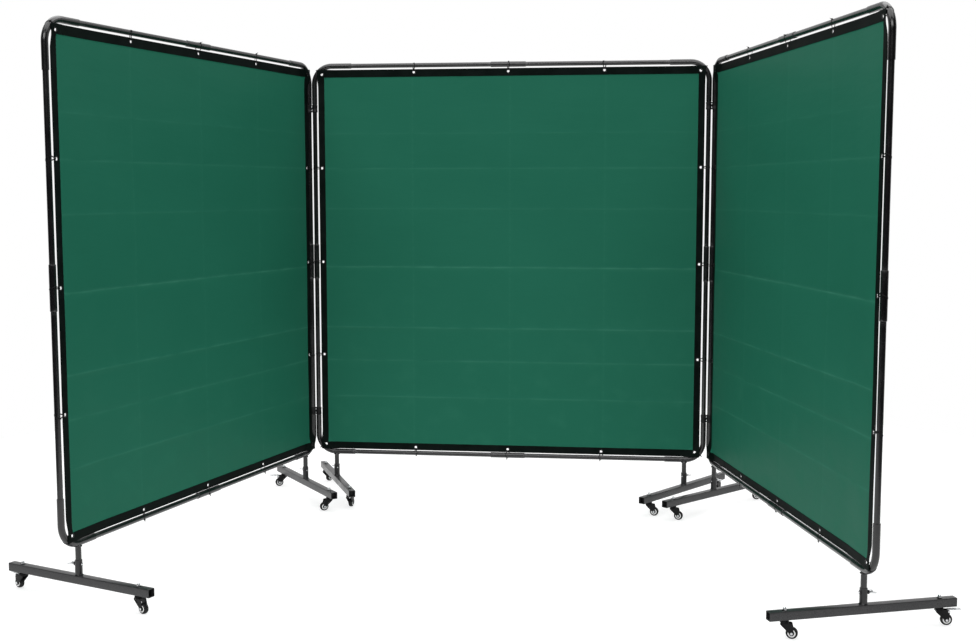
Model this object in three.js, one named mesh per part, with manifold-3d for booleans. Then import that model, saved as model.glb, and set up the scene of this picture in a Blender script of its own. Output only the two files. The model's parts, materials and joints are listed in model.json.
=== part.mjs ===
// Three-panel welding curtain screen, in millimetres, +Z up.
// The origin lies on the floor, under the middle of the whole screen.
// The centre panel runs along X. The two side panels turn forward, towards -Y,
// on clips that join neighbouring uprights. Every panel stands on two tee feet,
// and every foot rolls on two swivel casters.

import * as THREE from 'three';
import { mergeVertices } from 'three/addons/utils/BufferGeometryUtils.js';
import Module from 'manifold-3d';

const wasm = await Module();
wasm.setup();

// ---------- driving dimensions ----------

// Frame of one panel
const frameWidth = 1830;        // over the outside of the upright tubes
const frameHeight = 1830;       // over the outside of the level tubes
const tubeDiameter = 20.5;      // straight frame tube
const sleeveWall = 1.8;         // wall of the corner bends and of the middle sleeves
const slideFit = 0.3;           // gap all round between a tube and what it slides into
const bendRadius = 82;          // centre line of a corner bend
const bendLeg = 93;             // straight end of a corner bend
const socketDepth = 45;         // how far an upright plugs into a corner bend
const middleSleeveLength = 160; // sleeve that joins the two halves of a side
const railAxisHeight = 209;     // lower level tube above the floor

// Legs and sockets
const legDiameter = 21;
const legInset = 85;            // from the upright's axis to the leg's axis
const legEndGap = 2;            // under the leg, inside its socket
const socketWall = 2.2;
const socketHeight = 55;        // above the foot's square tube

// Foot
const footLength = 676;
const footTube = 30;            // outside of the square tube
const footTubeWall = 1.6;
const casterInset = 58;         // from the tube's end to the caster's stem

// Wing bolt
const boltHeight = 40;          // above the square tube
const boltDiameter = 8;
const boltBossDiameter = 15;
const boltBossLength = 6;
const wingHubDiameter = 11;
const wingHubLength = 11;
const wingSpan = 34;
const wingHeight = 13;
const wingThickness = 3.4;
const boltOverlap = 1;          // of the shank and wings with the hub

// Caster
const wheelDiameter = 40;
const wheelHeadroom = 22;       // from the wheel's top to the square tube
const wheelWidth = 18;
const wheelTrail = 24;          // from the stem's axis to the axle
const axleDiameter = 6;
const stemDiameter = 8;
const stemDepth = 8;            // into the swivel head
const headDiameter = 30;
const headHeight = 8;
const headGap = 1;              // under the square tube
const cheekThickness = 2.5;
const cheekGap = 1;             // between the wheel and a cheek
const nutWidth = 13;            // across the corners of the cap nut
const nutHeight = 6;
const nutDomeHeight = 5;
const nutDomeFoot = 11;         // diameters of the dome at its foot and at its top
const nutDomeTop = 6;
const crownThickness = 3;       // bridge between the cheeks, under the head
const crownOverHead = 1;        // how far the bridge is let into the head
const axleBossRadius = 7.5;     // round end of a cheek at the axle
const axleEnd = 2;              // axle head outside each cheek
const treadCorner = 3;          // how far the tread rounds off at each side
const hubRadius = 8;

// Brake pedal
const pedalPivotX = 30;
const pedalPivotDrop = 13;      // pivot under the square tube
const pedalReach = 70;          // stem's axis to the pedal's tip
const pedalWidth = 22;
const pedalThickness = 1.8;
const pedalBarrel = 6;
const pedalPin = 4;
const pedalEarWall = 2;         // of the fork's ear, round the pin
const pedalLift = 1;            // of the plate over the ear
const pedalSideGap = 0.5;       // between the barrel and a cheek
const shoeThickness = 4;
const shoeSideGap = 2.5;        // between the shoe and a cheek

// Curtain
const curtainSideGap = 6.5;     // to the upright on each side
const curtainTopGap = 7;
const curtainBottomGap = 3.5;
const curtainBendGap = 2;       // to the corner bends, which its corners follow
const curtainThickness = 2;

// Hinge clip
const frameGap = 1.8;           // between the corner bends of neighbouring panels
const clipHeight = 34;
const clipWall = 2.2;
const clipWebWidth = 7;
const clipEndGap = 2;           // to the corner bend beside it

// Stance
const sideTurn = 76;            // degrees each side panel is turned forward
const footTurns = {             // degrees each foot is turned about its leg
  left_outer: -7.5,
  left_inner: -39,
  centre_left: 25,
  centre_right: -35,
  right_inner: 34,
  right_outer: 6,
};
const casterHeadings = {        // degrees from +X in which each wheel trails, front then rear
  left_outer: [-30, 150],
  left_inner: [211, 204],
  centre_left: [83, 60],
  centre_right: [-12, 63],
  right_inner: [-11, 10],
  right_outer: [-11, 1],
};

// Joints between solids
const weld = 0.2;               // overlap of two solids that are joined
const overcut = 1;              // how far a cut runs past the face it opens

// Facets round a circle
const tubeSides = 10;
const smallSides = 8;
const pinSides = 6;
const wheelSides = 16;
const bendSteps = 8;

// ---------- sizes that follow ----------

const sleeveDiameter = tubeDiameter + 2 * (slideFit + sleeveWall);
const clipSpacing = sleeveDiameter + frameGap;
const axisWidth = frameWidth - tubeDiameter;
const axisHeight = frameHeight - tubeDiameter;
const bendReach = bendRadius + bendLeg;
const casterHeight = wheelDiameter + wheelHeadroom;
const footTop = casterHeight + footTube;
const stemSpread = footLength / 2 - casterInset;
const wheelAxisDrop = casterHeight - wheelDiameter / 2;
const cheekInside = wheelWidth / 2 + cheekGap;
const cheekOutside = cheekInside + cheekThickness;
const headBottom = -(headGap + headHeight);

// ---------- materials ----------

function finish(colour, roughness, metalness) {
  return new THREE.MeshStandardMaterial({ color: colour, roughness, metalness });
}

const blackPaint = finish(0x141416, 0.3, 0.2);
const footPaint = finish(0x1b1c1e, 0.4, 0.2);
const casterBlack = finish(0x0e0f10, 0.5, 0.1);
const tyreRubber = finish(0x17181a, 0.7, 0);
const zincPlate = finish(0xc3c6c9, 0.35, 0.9);
const greenVinyl = finish(0x22624d, 0.4, 0);

// ---------- solids ----------

// A closed geometry as a solid that can be joined and cut.
function solidOf(geometry) {
  const bare = geometry.clone();
  bare.deleteAttribute('normal');
  bare.deleteAttribute('uv');
  const merged = mergeVertices(bare, 1e-4);
  return new wasm.Manifold(new wasm.Mesh({
    numProp: 3,
    vertProperties: new Float32Array(merged.attributes.position.array),
    triVerts: new Uint32Array(merged.index.array),
  }));
}

// A solid back as a geometry.
function geometryOf(solid) {
  const mesh = solid.getMesh();
  const geometry = new THREE.BufferGeometry();
  geometry.setAttribute('position', new THREE.BufferAttribute(mesh.vertProperties, 3));
  geometry.setIndex(new THREE.BufferAttribute(mesh.triVerts, 1));
  geometry.computeVertexNormals();
  return geometry;
}

// Every piece of the list as one solid.
function joined(solids) {
  return solids.reduce((whole, piece) => whole.add(piece));
}

// A round bar from one height to another, its axis along Z.
function roundBar(diameter, bottom, top, sides = tubeSides) {
  const bar = new THREE.CylinderGeometry(diameter / 2, diameter / 2, top - bottom, sides);
  bar.rotateX(Math.PI / 2);
  bar.translate(0, 0, (top + bottom) / 2);
  return bar;
}

// What is cut away for a bar that slides or turns in a bore: its flats clear the bar's corners.
function boreFor(diameter, bottom, top, sides = tubeSides) {
  const acrossCorners = (diameter + 2 * slideFit) / Math.cos(Math.PI / sides);
  return roundBar(acrossCorners, bottom, top, sides);
}

// A round bar along X, between two places on it.
function levelBar(diameter, from, to, sides = tubeSides) {
  const bar = roundBar(diameter, from, to, sides);
  bar.rotateY(Math.PI / 2);
  return bar;
}

// A round bar along Y, as long on one side as on the other.
function crossBar(diameter, halfLength, sides = smallSides) {
  const bar = roundBar(diameter, -halfLength, halfLength, sides);
  bar.rotateX(Math.PI / 2);
  return bar;
}

function block(xFrom, xTo, yFrom, yTo, zFrom, zTo) {
  const box = new THREE.BoxGeometry(xTo - xFrom, yTo - yFrom, zTo - zFrom);
  box.translate((xFrom + xTo) / 2, (yFrom + yTo) / 2, (zFrom + zTo) / 2);
  return box;
}

// ---------- frame pieces, in a panel's own frame ----------
// X runs along the panel from its middle, and Z up from the lower rail's axis.

// Centre line of a corner bend in the XZ plane: a straight end along the level tube, a quarter
// circle, and a straight end along the upright. sideX is -1 or 1, sideZ is -1 at the foot of the
// panel and 1 at its head. It has one step in each straight end and bendSteps round the quarter.
class BendLine extends THREE.Curve {
  constructor(sideX, sideZ) {
    super();
    this.sideX = sideX;
    this.sideZ = sideZ;
  }

  getPoint(t, target = new THREE.Vector3()) {
    const station = t * (bendSteps + 2) - 1;
    const around = THREE.MathUtils.clamp(station / bendSteps, 0, 1) * Math.PI / 2;
    const levelEnd = Math.max(-station, 0) * bendLeg;
    const uprightEnd = Math.max(station - bendSteps, 0) * bendLeg;
    const inX = bendRadius * (1 - Math.sin(around)) + levelEnd;
    const inZ = bendRadius * (1 - Math.cos(around)) + uprightEnd;
    const cornerZ = this.sideZ < 0 ? 0 : axisHeight;
    return target.set(this.sideX * (axisWidth / 2 - inX), 0, cornerZ - this.sideZ * inZ);
  }

  // The steps are counted by station, not by length.
  getUtoTmapping(u) {
    return u;
  }
}

function cornerBend(sideX, sideZ) {
  const section = new THREE.Shape();
  section.absarc(0, 0, sleeveDiameter / 2, 0, 2 * Math.PI);
  return new THREE.ExtrudeGeometry(section, {
    curveSegments: tubeSides / 2,
    steps: bendSteps + 2,
    extrudePath: new BendLine(sideX, sideZ),
  });
}

// The socket in a corner bend's upright end, as the solid that is cut away.
function uprightSocket(sideX, sideZ) {
  const endZ = sideZ < 0 ? bendReach : axisHeight - bendReach;
  const deepZ = endZ + sideZ * socketDepth;
  const openZ = endZ - sideZ * overcut;
  const bore = boreFor(tubeDiameter, Math.min(deepZ, openZ), Math.max(deepZ, openZ));
  bore.translate(sideX * axisWidth / 2, 0, 0);
  return solidOf(bore);
}

// A level tube with its middle sleeve and both corner bends.
function rail(sideZ) {
  const height = sideZ < 0 ? 0 : axisHeight;
  const tubeEnd = axisWidth / 2 - bendRadius;
  const tube = levelBar(tubeDiameter, -tubeEnd, tubeEnd);
  const sleeve = levelBar(sleeveDiameter, -middleSleeveLength / 2, middleSleeveLength / 2);
  tube.translate(0, 0, height);
  sleeve.translate(0, 0, height);
  const whole = joined([
    solidOf(tube),
    solidOf(sleeve),
    solidOf(cornerBend(-1, sideZ)),
    solidOf(cornerBend(1, sideZ)),
  ]);
  return whole.subtract(uprightSocket(-1, sideZ)).subtract(uprightSocket(1, sideZ));
}

function topRail() {
  return rail(1);
}

// The lower rail carries a leg near each end, which goes down into a foot's socket.
function bottomRail() {
  const legBottom = footTop + legEndGap - railAxisHeight;
  const legs = [-1, 1].map((side) => {
    const leg = roundBar(legDiameter, legBottom, 0);
    leg.translate(side * (axisWidth / 2 - legInset), 0, 0);
    return solidOf(leg);
  });
  return joined([rail(-1), ...legs]);
}

// An upright tube with its middle sleeve, plugged into the corner bends at both ends.
function upright(sideX) {
  const plugged = socketDepth - slideFit;
  const bottom = bendReach - plugged;
  const top = axisHeight - bottom;
  const tube = roundBar(tubeDiameter, bottom, top);
  const middle = axisHeight / 2;
  const sleeve = roundBar(sleeveDiameter, middle - middleSleeveLength / 2, middle + middleSleeveLength / 2);
  const whole = joined([solidOf(tube), solidOf(sleeve)]);
  return whole.translate([sideX * axisWidth / 2, 0, 0]);
}

// Hinge clip: two rings side by side. The first is fast on the centre panel's upright, and the
// side panel's upright turns in the second.
function hingeClip(sideX, bottom) {
  const ownX = sideX * axisWidth / 2;
  const otherX = ownX + sideX * clipSpacing;
  const ringDiameter = tubeDiameter + 2 * (slideFit + clipWall);
  const ownRing = roundBar(ringDiameter, bottom, bottom + clipHeight, tubeSides);
  const otherRing = roundBar(ringDiameter, bottom, bottom + clipHeight, tubeSides);
  const otherBore = boreFor(tubeDiameter, bottom - overcut, bottom + clipHeight + overcut);
  ownRing.translate(ownX, 0, 0);
  otherRing.translate(otherX, 0, 0);
  otherBore.translate(otherX, 0, 0);
  const web = block(Math.min(ownX, otherX), Math.max(ownX, otherX),
    -clipWebWidth / 2, clipWebWidth / 2, bottom, bottom + clipHeight);
  return joined([solidOf(ownRing), solidOf(otherRing), solidOf(web)]).subtract(solidOf(otherBore));
}

// A centre upright with its two hinge clips, one beside each corner bend.
function hingedUpright(sideX) {
  const lower = bendReach + clipEndGap;
  const upper = axisHeight - lower - clipHeight;
  return joined([upright(sideX), hingeClip(sideX, lower), hingeClip(sideX, upper)]);
}

// A flat plate in the XZ plane with round corners, its middle at the frame's middle.
function roundedPlate(halfWidth, halfHeight, radius, thickness) {
  const outline = new THREE.Shape();
  outline.absarc(halfWidth - radius, halfHeight - radius, radius, 0, Math.PI / 2);
  outline.absarc(radius - halfWidth, halfHeight - radius, radius, Math.PI / 2, Math.PI);
  outline.absarc(radius - halfWidth, radius - halfHeight, radius, Math.PI, 1.5 * Math.PI);
  outline.absarc(halfWidth - radius, radius - halfHeight, radius, 1.5 * Math.PI, 2 * Math.PI);
  const plate = new THREE.ExtrudeGeometry(outline, {
    depth: thickness,
    bevelEnabled: false,
    curveSegments: 6,
  });
  plate.translate(0, 0, -thickness / 2);
  plate.rotateX(Math.PI / 2);
  plate.translate(0, 0, axisHeight / 2);
  return plate;
}

// The sheet, clear of the frame all round. Its corners keep inside the corner bends.
function curtain() {
  const halfWidth = (axisWidth - tubeDiameter) / 2 - curtainSideGap;
  const bottom = tubeDiameter / 2 + curtainBottomGap;
  const top = axisHeight - tubeDiameter / 2 - curtainTopGap;
  const half = curtainThickness / 2;
  const sheet = block(-halfWidth, halfWidth, -half, half, bottom, top);
  const inset = sleeveDiameter / 2 + curtainBendGap - slideFit;
  const opening = roundedPlate(axisWidth / 2 - inset, axisHeight / 2 - inset,
    bendRadius - sleeveDiameter / 2 - curtainBendGap, 2 * curtainThickness);
  return solidOf(sheet).intersect(solidOf(opening));
}

// ---------- foot pieces, in a foot's own frame ----------
// X runs along the square tube, forward, from the leg's axis. Z is measured from the tube's underside.

// A six-sided cap nut standing on a surface.
function capNut(x, z) {
  const hexagon = roundBar(nutWidth, z, z + nutHeight, 6);
  const dome = new THREE.CylinderGeometry(nutDomeTop / 2, nutDomeFoot / 2, nutDomeHeight, smallSides);
  dome.rotateX(Math.PI / 2);
  dome.translate(0, 0, z + nutHeight + nutDomeHeight / 2 - weld);
  hexagon.translate(x, 0, 0);
  dome.translate(x, 0, 0);
  return [solidOf(hexagon), solidOf(dome)];
}

// Square tube, open at both ends, with the leg's socket welded on top, the caster stems through it
// and the boss that the wing bolt screws into, at the back of the socket.
function foot() {
  const half = footTube / 2;
  const inside = half - footTubeWall;
  const square = block(-footLength / 2, footLength / 2, -half, half, 0, footTube);
  const hollow = block(-footLength / 2 - overcut, footLength / 2 + overcut, -inside, inside,
    footTubeWall, footTube - footTubeWall);
  const socketOuter = legDiameter + 2 * (slideFit + socketWall);
  const sunk = footTubeWall / 2;
  const socket = roundBar(socketOuter, footTube - sunk, footTube + socketHeight);
  const bore = boreFor(legDiameter, footTube + weld, footTube + socketHeight + overcut);
  const bossEnd = -(socketOuter / 2 + boltBossLength);
  const boss = levelBar(boltBossDiameter, bossEnd, -legDiameter / 2, smallSides);
  const boltHole = boreFor(boltDiameter, bossEnd - overcut, 0, smallSides);
  boltHole.rotateY(Math.PI / 2);
  boss.translate(0, 0, footTube + boltHeight);
  boltHole.translate(0, 0, footTube + boltHeight);
  const screwEnd = (socketOuter + boltBossLength) / 2;
  const frontScrew = levelBar(boltDiameter, legDiameter / 2, screwEnd, smallSides);
  frontScrew.translate(0, 0, footTube + boltHeight);
  const stems = [-1, 1].map((side) => {
    const x = side * stemSpread;
    const stem = roundBar(stemDiameter, -stemDepth, footTube, smallSides);
    stem.translate(x, 0, 0);
    return [solidOf(stem), ...capNut(x, footTube - sunk)];
  }).flat();
  const tube = solidOf(square).subtract(solidOf(hollow));
  return joined([tube, solidOf(socket), solidOf(boss), solidOf(frontScrew), ...stems])
    .subtract(solidOf(bore))
    .subtract(solidOf(boltHole));
}

// Wing bolt, along -X from the leg. Its tip stops just short of the leg.
function wingBolt() {
  const socketOuter = legDiameter + 2 * (slideFit + socketWall);
  const tip = -(legDiameter / 2 + slideFit);
  const hubStart = -(socketOuter / 2 + boltBossLength + slideFit);
  const hubEnd = hubStart - wingHubLength;
  const shank = levelBar(boltDiameter, hubStart - boltOverlap, tip, smallSides);
  const hub = levelBar(wingHubDiameter, hubEnd, hubStart, smallSides);
  const outline = new THREE.Shape();
  outline.moveTo(hubStart - boltOverlap, 0);
  outline.lineTo(hubEnd, 0);
  outline.lineTo(hubEnd - wingHeight * 0.55, wingSpan * 0.28);
  outline.quadraticCurveTo(hubEnd - wingHeight, wingSpan / 2, hubEnd - wingHeight * 0.2, wingSpan / 2);
  outline.lineTo(hubStart - boltOverlap, wingSpan * 0.2);
  const wings = [0, Math.PI].map((turn) => {
    const wing = new THREE.ExtrudeGeometry(outline, {
      depth: wingThickness,
      bevelEnabled: false,
      curveSegments: 3,
    });
    wing.translate(0, 0, -wingThickness / 2);
    wing.rotateX(turn);
    return solidOf(wing);
  });
  return joined([solidOf(shank), solidOf(hub), ...wings]);
}

// ---------- caster pieces, in a caster's own frame ----------
// Z is measured from the square tube's underside, with the stem's axis at the origin, and the
// wheel trails along +X.

// Side plate of the fork, from the swivel head back and down to the axle. A braked fork has an
// ear that holds the pedal's pin.
function cheek(braked) {
  const axleX = wheelTrail;
  const axleZ = -wheelAxisDrop;
  const top = headBottom - weld;
  const earRadius = pedalPin / 2 + pedalEarWall;
  const shape = new THREE.Shape();
  shape.moveTo(-headDiameter * 0.4, top);
  if (braked) {
    shape.absarc(pedalPivotX, -pedalPivotDrop, earRadius, Math.PI / 2, -Math.PI / 4, true);
  } else {
    shape.lineTo(axleX, top);
  }
  shape.absarc(axleX, axleZ, axleBossRadius, Math.PI / 12, -Math.PI, true);
  shape.lineTo(-headDiameter * 0.4, top - 2 * crownThickness);
  const plate = new THREE.ExtrudeGeometry(shape, {
    depth: cheekThickness,
    bevelEnabled: false,
    curveSegments: 3,
  });
  plate.rotateX(Math.PI / 2);
  return plate;
}

function fork(braked) {
  const head = roundBar(headDiameter, headBottom, -headGap);
  const crown = block(-headDiameter * 0.4, headDiameter * 0.45, -cheekOutside, cheekOutside,
    headBottom - crownThickness, headBottom + crownOverHead);
  const left = cheek(braked);
  const right = cheek(braked);
  left.translate(0, cheekOutside, 0);
  right.translate(0, -cheekInside, 0);
  const axle = crossBar(axleDiameter, cheekOutside + axleEnd);
  axle.translate(wheelTrail, 0, -wheelAxisDrop);
  const bore = boreFor(stemDiameter, -stemDepth - slideFit, overcut, smallSides);
  let whole = joined([solidOf(head), solidOf(crown), solidOf(left), solidOf(right), solidOf(axle)])
    .subtract(solidOf(bore));
  if (braked) {
    const holeEnd = cheekOutside + overcut;
    const pinHole = boreFor(pedalPin, -holeEnd, holeEnd, pinSides);
    pinHole.rotateX(Math.PI / 2);
    pinHole.translate(pedalPivotX, 0, -pedalPivotDrop);
    whole = whole.subtract(solidOf(pinHole));
  }
  return whole;
}

// Wheel with a rounded tread and a hub that stands proud of the tyre's sides. It stands on one
// of its tread's flats.
function wheel() {
  const bore = axleDiameter / 2 + slideFit;
  const radius = wheelDiameter / 2;
  const half = wheelWidth / 2;
  const hubHalf = half + cheekGap / 2;
  const profile = [
    [bore, -hubHalf],
    [hubRadius, -hubHalf],
    [radius - treadCorner, 1 - half],
    [radius, 1 - half + treadCorner],
    [radius, half - 1 - treadCorner],
    [radius - treadCorner, half - 1],
    [hubRadius, hubHalf],
    [bore, hubHalf],
    [bore, -hubHalf],
  ].map(([r, y]) => new THREE.Vector2(r, y));
  const turned = new THREE.LatheGeometry(profile, wheelSides);
  turned.rotateY(Math.PI / wheelSides);
  turned.translate(wheelTrail, 0, -wheelAxisDrop);
  return solidOf(turned);
}

// Foot lever of the brake: a plate, a barrel on its pin, and the shoe that comes down on the tyre.
function pedal() {
  const barrelHalf = cheekInside - pedalSideGap;
  const shoeHalf = cheekInside - shoeSideGap;
  const barrel = crossBar(pedalBarrel, barrelHalf);
  const pin = crossBar(pedalPin, cheekOutside, pinSides);
  barrel.translate(pedalPivotX, 0, -pedalPivotDrop);
  pin.translate(pedalPivotX, 0, -pedalPivotDrop);
  const plateBottom = -pedalPivotDrop + pedalPin / 2 + pedalEarWall + pedalLift;
  const plateTop = plateBottom + pedalThickness;
  const plate = block(pedalPivotX - pedalBarrel / 2, pedalReach, -pedalWidth / 2, pedalWidth / 2,
    plateBottom, plateTop);
  const webHalf = shoeThickness / 2;
  const web = block(pedalPivotX - webHalf, pedalPivotX + webHalf, -barrelHalf, barrelHalf,
    -pedalPivotDrop, plateBottom + weld);
  const shoeBottom = -wheelAxisDrop + wheelDiameter / 2 - slideFit;
  const shoe = block(pedalPivotX + 1, pedalPivotX + 1 + shoeThickness, -shoeHalf, shoeHalf,
    shoeBottom, -pedalPivotDrop);
  return joined([solidOf(barrel), solidOf(pin), solidOf(plate), solidOf(web), solidOf(shoe)]);
}

// ---------- assembly ----------

function degrees(angle) {
  return angle * Math.PI / 180;
}

function named(name, solid, material) {
  const geometry = solid.isBufferGeometry ? solid : geometryOf(solid);
  const mesh = new THREE.Mesh(geometry, material);
  mesh.name = name;
  return mesh;
}

function caster(name, braked) {
  const group = new THREE.Group();
  group.add(named(`${name}_fork`, fork(braked), casterBlack));
  group.add(named(`${name}_wheel`, wheel(), tyreRubber));
  if (braked) {
    group.add(named(`${name}_brake_pedal`, pedal(), zincPlate));
  }
  return group;
}

// A foot with its wing bolt and casters, placed under the leg on one side of a panel.
function footAssembly(name, sideX, panelTurn) {
  const group = new THREE.Group();
  group.add(named(`${name}_foot`, foot(), footPaint));
  const bolt = named(`${name}_wing_bolt`, wingBolt(), zincPlate);
  bolt.position.z = footTube + boltHeight;
  group.add(bolt);
  const turn = footTurns[name] - 90;
  const ends = [['front', 1], ['rear', -1]];
  ends.forEach(([end, side], index) => {
    const unit = caster(`${name}_${end}`, end === 'rear');
    unit.position.x = side * stemSpread;
    unit.rotation.z = degrees(casterHeadings[name][index] - panelTurn - turn);
    group.add(unit);
  });
  group.position.set(sideX * (axisWidth / 2 - legInset), 0, casterHeight - railAxisHeight);
  group.rotation.z = degrees(turn);
  return group;
}

// One panel: frame, curtain and two feet.
function panel(name, leftFoot, rightFoot, panelTurn, uprights) {
  const group = new THREE.Group();
  group.add(named(`${name}_top_rail`, topRail(), blackPaint));
  group.add(named(`${name}_bottom_rail`, bottomRail(), blackPaint));
  group.add(named(`${name}_left_upright`, uprights(-1), blackPaint));
  group.add(named(`${name}_right_upright`, uprights(1), blackPaint));
  group.add(named(`${name}_curtain`, curtain(), greenVinyl));
  group.add(footAssembly(leftFoot, -1, panelTurn));
  group.add(footAssembly(rightFoot, 1, panelTurn));
  group.rotation.z = degrees(panelTurn);
  return group;
}

// The group, moved so that the given point of its own frame comes to the hinge.
function hung(group, pivotX, hingeX) {
  const turn = group.rotation.z;
  group.position.set(hingeX - pivotX * Math.cos(turn), -pivotX * Math.sin(turn), 0);
  return group;
}

const screen = new THREE.Group();
const hingeX = axisWidth / 2 + clipSpacing;
screen.add(panel('centre', 'centre_left', 'centre_right', 0, hingedUpright));
screen.add(hung(panel('left', 'left_outer', 'left_inner', sideTurn, upright), axisWidth / 2, -hingeX));
screen.add(hung(panel('right', 'right_inner', 'right_outer', -sideTurn, upright), -axisWidth / 2, hingeX));
screen.position.z = railAxisHeight;

// The origin goes to the middle of the screen's box, on the floor.
screen.updateMatrixWorld(true);
const box = new THREE.Box3().setFromObject(screen, true);
screen.position.x -= (box.min.x + box.max.x) / 2;
screen.position.y -= (box.min.y + box.max.y) / 2;
screen.position.z -= box.min.z;

const group = new THREE.Group();
group.add(screen);
group.updateMatrixWorld(true);

export default group;
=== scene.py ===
# %% [markdown]
# # A welding curtain screen
# Three square frames of black tube stand in a U, hinged to one another. Each holds a tinted
# vinyl curtain, tied on through eyelets, and rolls on two tee feet with swivel casters.
# The measured solids come first, as a fixed frame. Every visible piece is then built round
# them and rides on one of their bodies.

# %% Load the fixed frame
import json
import math

import bpy
import numpy as np
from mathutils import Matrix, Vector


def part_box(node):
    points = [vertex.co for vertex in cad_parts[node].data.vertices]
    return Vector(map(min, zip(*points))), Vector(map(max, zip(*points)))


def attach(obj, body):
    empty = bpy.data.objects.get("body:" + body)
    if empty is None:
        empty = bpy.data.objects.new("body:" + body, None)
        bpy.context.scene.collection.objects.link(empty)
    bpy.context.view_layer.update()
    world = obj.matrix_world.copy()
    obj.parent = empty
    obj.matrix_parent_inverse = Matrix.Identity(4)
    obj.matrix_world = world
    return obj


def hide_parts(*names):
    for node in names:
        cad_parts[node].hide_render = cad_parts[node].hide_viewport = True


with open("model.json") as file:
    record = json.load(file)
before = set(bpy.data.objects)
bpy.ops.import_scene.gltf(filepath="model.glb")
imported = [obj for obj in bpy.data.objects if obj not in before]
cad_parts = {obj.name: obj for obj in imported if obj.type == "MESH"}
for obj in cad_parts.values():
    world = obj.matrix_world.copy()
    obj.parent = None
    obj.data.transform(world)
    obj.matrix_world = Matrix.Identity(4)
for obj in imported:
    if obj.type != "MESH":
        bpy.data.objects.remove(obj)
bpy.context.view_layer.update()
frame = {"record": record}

MM = 0.001
JOINTS = {joint["name"]: joint for joint in frame["record"]["behaviour"]["joints"]}

# %% [markdown]
# ## Where things are
# A joint's place and axis say where a foot, a caster or a hinge sits, so nothing is typed
# twice. Each panel has its own axes: X along it, Y out of its back, and Z up from the axis
# of its lower rail. Lengths inside a piece are in millimetres, as on a workshop drawing.

# %% Panels, feet and casters
SLEEVE = 24.7          # outside of the corner bends and middle sleeves
TUBE = 20.5
SIDE = 1809.5          # between the axes of opposite tubes
HALF = SIDE / 2
BEND_RADIUS = 82
BEND_LEG = 93
LEG_INSET = 85
LEG_X = HALF - LEG_INSET
LEGS = {
    "centre": ("centre_left", "centre_right"),
    "left": ("left_outer", "left_inner"),
    "right": ("right_inner", "right_outer"),
}
FEET = [foot for pair in LEGS.values() for foot in pair]


def unit(vector):
    vector = np.asarray(vector, float)
    return vector / np.linalg.norm(vector, axis=-1, keepdims=True)


def spot(joint):
    return np.array(JOINTS[joint]["pos_m"], float)


class Place:
    """A piece's own axes: an origin in metres, and unit X, Y and Z."""

    def __init__(self, origin, x_axis, z_axis=(0, 0, 1)):
        self.origin = np.asarray(origin, float)
        z = unit(z_axis)
        x = unit(np.asarray(x_axis, float) - np.dot(x_axis, z) * z)
        self.axes = np.array([x, np.cross(z, x), z])

    def of(self, points):
        """Frame point = origin + x * X + y * Y + z * Z, from millimetres to metres."""
        return self.origin + (np.asarray(points, float) * MM) @ self.axes


def panel_place(panel):
    near, far = (spot(f"{foot}_foot_swivel") for foot in LEGS[panel])
    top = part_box(f"{panel}_top_rail")[1][2]
    middle = (near + far) / 2
    middle[2] = top - (SLEEVE / 2 + SIDE) * MM
    return Place(middle, (far - near) * (1, 1, 0))


PANELS = {panel: panel_place(panel) for panel in LEGS}
FOOT_PLACES = {
    foot: Place(spot(f"{foot}_foot_swivel"), -np.array(JOINTS[f"{foot}_wing_bolt_turn"]["axis"]))
    for foot in FEET
}
CASTER_PLACES = {}
for foot in FEET:
    for end in ("front", "rear"):
        stem = spot(f"{foot}_{end}_caster_swivel")
        trail = (spot(f"{foot}_{end}_wheel_roll") - stem) * (1, 1, 0)
        CASTER_PLACES[foot, end] = Place(stem, trail)
print(len(PANELS), "panels,", len(FEET), "feet,", len(CASTER_PLACES), "casters")

# %% [markdown]
# ## The camera
# It stands a little right of the middle, at head height, and looks slightly down into the
# open side of the screen. A 47 mm lens keeps the frames' edges nearly straight.

# %% Camera
FROM_MIDDLE = np.array([0.609, -5.861, 0.323])     # from the centre panel's middle, in metres
TILT, TURN = 84.24, 6.83
SENSOR_WIDTH, FOCAL_LENGTH = 36, 46.9918
FRAME_MIDDLE = PANELS["centre"].of([0, 0, HALF])
camera = bpy.data.objects.new("camera", bpy.data.cameras.new("camera"))
bpy.context.scene.collection.objects.link(camera)
camera.location = FRAME_MIDDLE + FROM_MIDDLE
camera.rotation_euler = (math.radians(TILT), 0, math.radians(TURN))
camera.data.sensor_width = SENSOR_WIDTH
camera.data.lens = FOCAL_LENGTH
bpy.context.scene.camera = camera
print("camera at", [round(v, 3) for v in camera.location])

# %% [markdown]
# ## Shells
# Every piece is made of closed shells: arrays of points, and faces that list them. A shell
# is either a profile carried along a line, a profile turned round an axis, or a flat
# outline given a thickness. Whole arrays are worked out at once.

# %% Faces of a grid, and which way they point
def grid_faces(rows, columns, round_rows=False, round_columns=True):
    """Quads between neighbours of a rows x columns grid. A round direction joins its ends."""
    i = np.arange(rows if round_rows else rows - 1)[:, None]
    j = np.arange(columns if round_columns else columns - 1)[None, :]
    i2, j2 = (i + 1) % rows, (j + 1) % columns
    corners = [i * columns + j, i * columns + j2, i2 * columns + j2, i2 * columns + j]
    return np.stack([c + 0 * i * j for c in corners], -1).reshape(-1, 4)


def outward(points, faces):
    """Turns every face round if the shell's signed volume, the sum of a.(b x c) / 6 over a fan
    of triangles, is negative."""
    volume = 0.0
    for size in {len(face) for face in faces}:
        group = np.array([face for face in faces if len(face) == size])
        for k in range(1, size - 1):
            a, b, c = points[group[:, 0]], points[group[:, k]], points[group[:, k + 1]]
            volume += np.einsum("ij,ij->", a, np.cross(b, c))
    if volume < 0:
        faces = [face[::-1] for face in faces]
    return points, faces


print("a grid of 3 x 4 points has", len(grid_faces(3, 4, round_columns=False)), "faces")

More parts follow.
